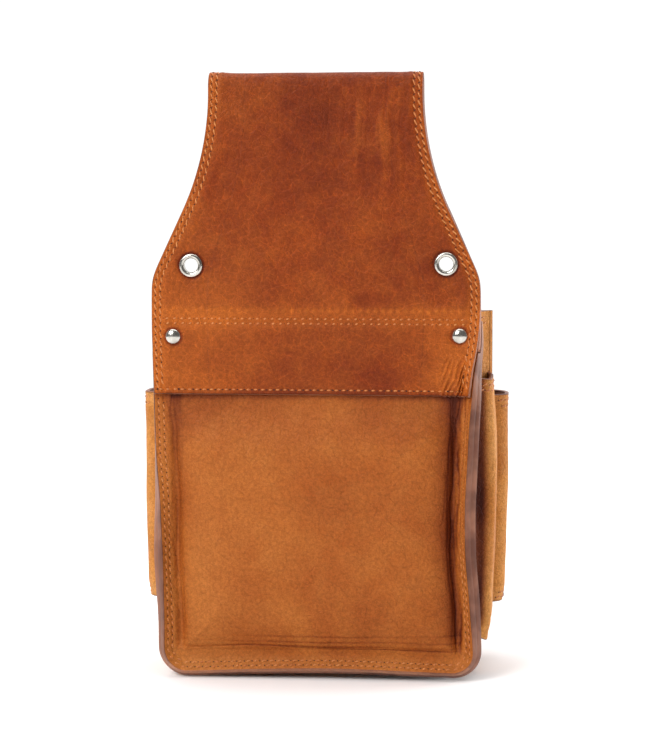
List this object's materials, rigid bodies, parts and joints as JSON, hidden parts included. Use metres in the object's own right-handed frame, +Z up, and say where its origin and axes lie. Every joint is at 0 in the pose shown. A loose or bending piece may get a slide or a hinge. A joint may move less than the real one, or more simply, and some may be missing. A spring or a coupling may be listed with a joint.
{
  "type": "electrician tool pouch",
  "caption": "Tan leather belt pouch for an electrician: folded belt tunnel on a tapering neck, deep gusseted pouch, second compartment, tool loops and a pliers pocket.",
  "frame": {"origin": "middle of the belt tunnel, on the pouch's middle plane", "axes": "+X along the belt to the right as the back is seen, +Y away from the wearer, +Z up"},
  "size_m": [0.191, 0.1052, 0.304],
  "materials": {
    "dark_leather": "waxed full grain, cloudy, darker at the neck",
    "tan_leather": "waxed full grain, satin",
    "nickel": "polished nickel plate",
    "thread": "waxed polyester thread"
  },
  "bodies": {
    "hanger": {"neck_leather": "dark_leather", "neck_edge_strip_left": "tan_leather", "neck_edge_strip_right": "tan_leather", "eyelet_left": "nickel", "eyelet_right": "nickel", "neck_edge_stitching_left": "thread", "neck_edge_stitching_right": "thread"},
    "pouch": {"back_panel": "tan_leather", "back_rivet_left": "nickel", "back_rivet_right": "nickel", "back_yoke": "dark_leather", "front_edge_stitching": "thread", "front_panel": "tan_leather", "front_pocket": "tan_leather", "front_pocket_base": "tan_leather", "gusset": "tan_leather", "lap_stitching": "thread", "loop_rivets": "nickel", "loop_stitching": "thread", "mouth_hem_stitching": "thread", "pliers_pocket": "tan_leather", "pocket_hem_stitching": "thread", "rim_stitching": "thread", "tool_loops": "tan_leather", "tunnel_leaf_end": "dark_leather", "tunnel_stitching": "thread", "yoke_edge_stitching_left": "thread", "yoke_edge_stitching_right": "thread"}
  },
  "joints": [
    {"name": "neck_flex", "type": "hinge", "parent": "hanger", "child": "pouch", "pos_m": [0, -0.00438, -0.07], "axis": [1, 0, 0], "range_deg": [-15, 35], "stiffness_Nm_per_rad": 3}
  ]
}
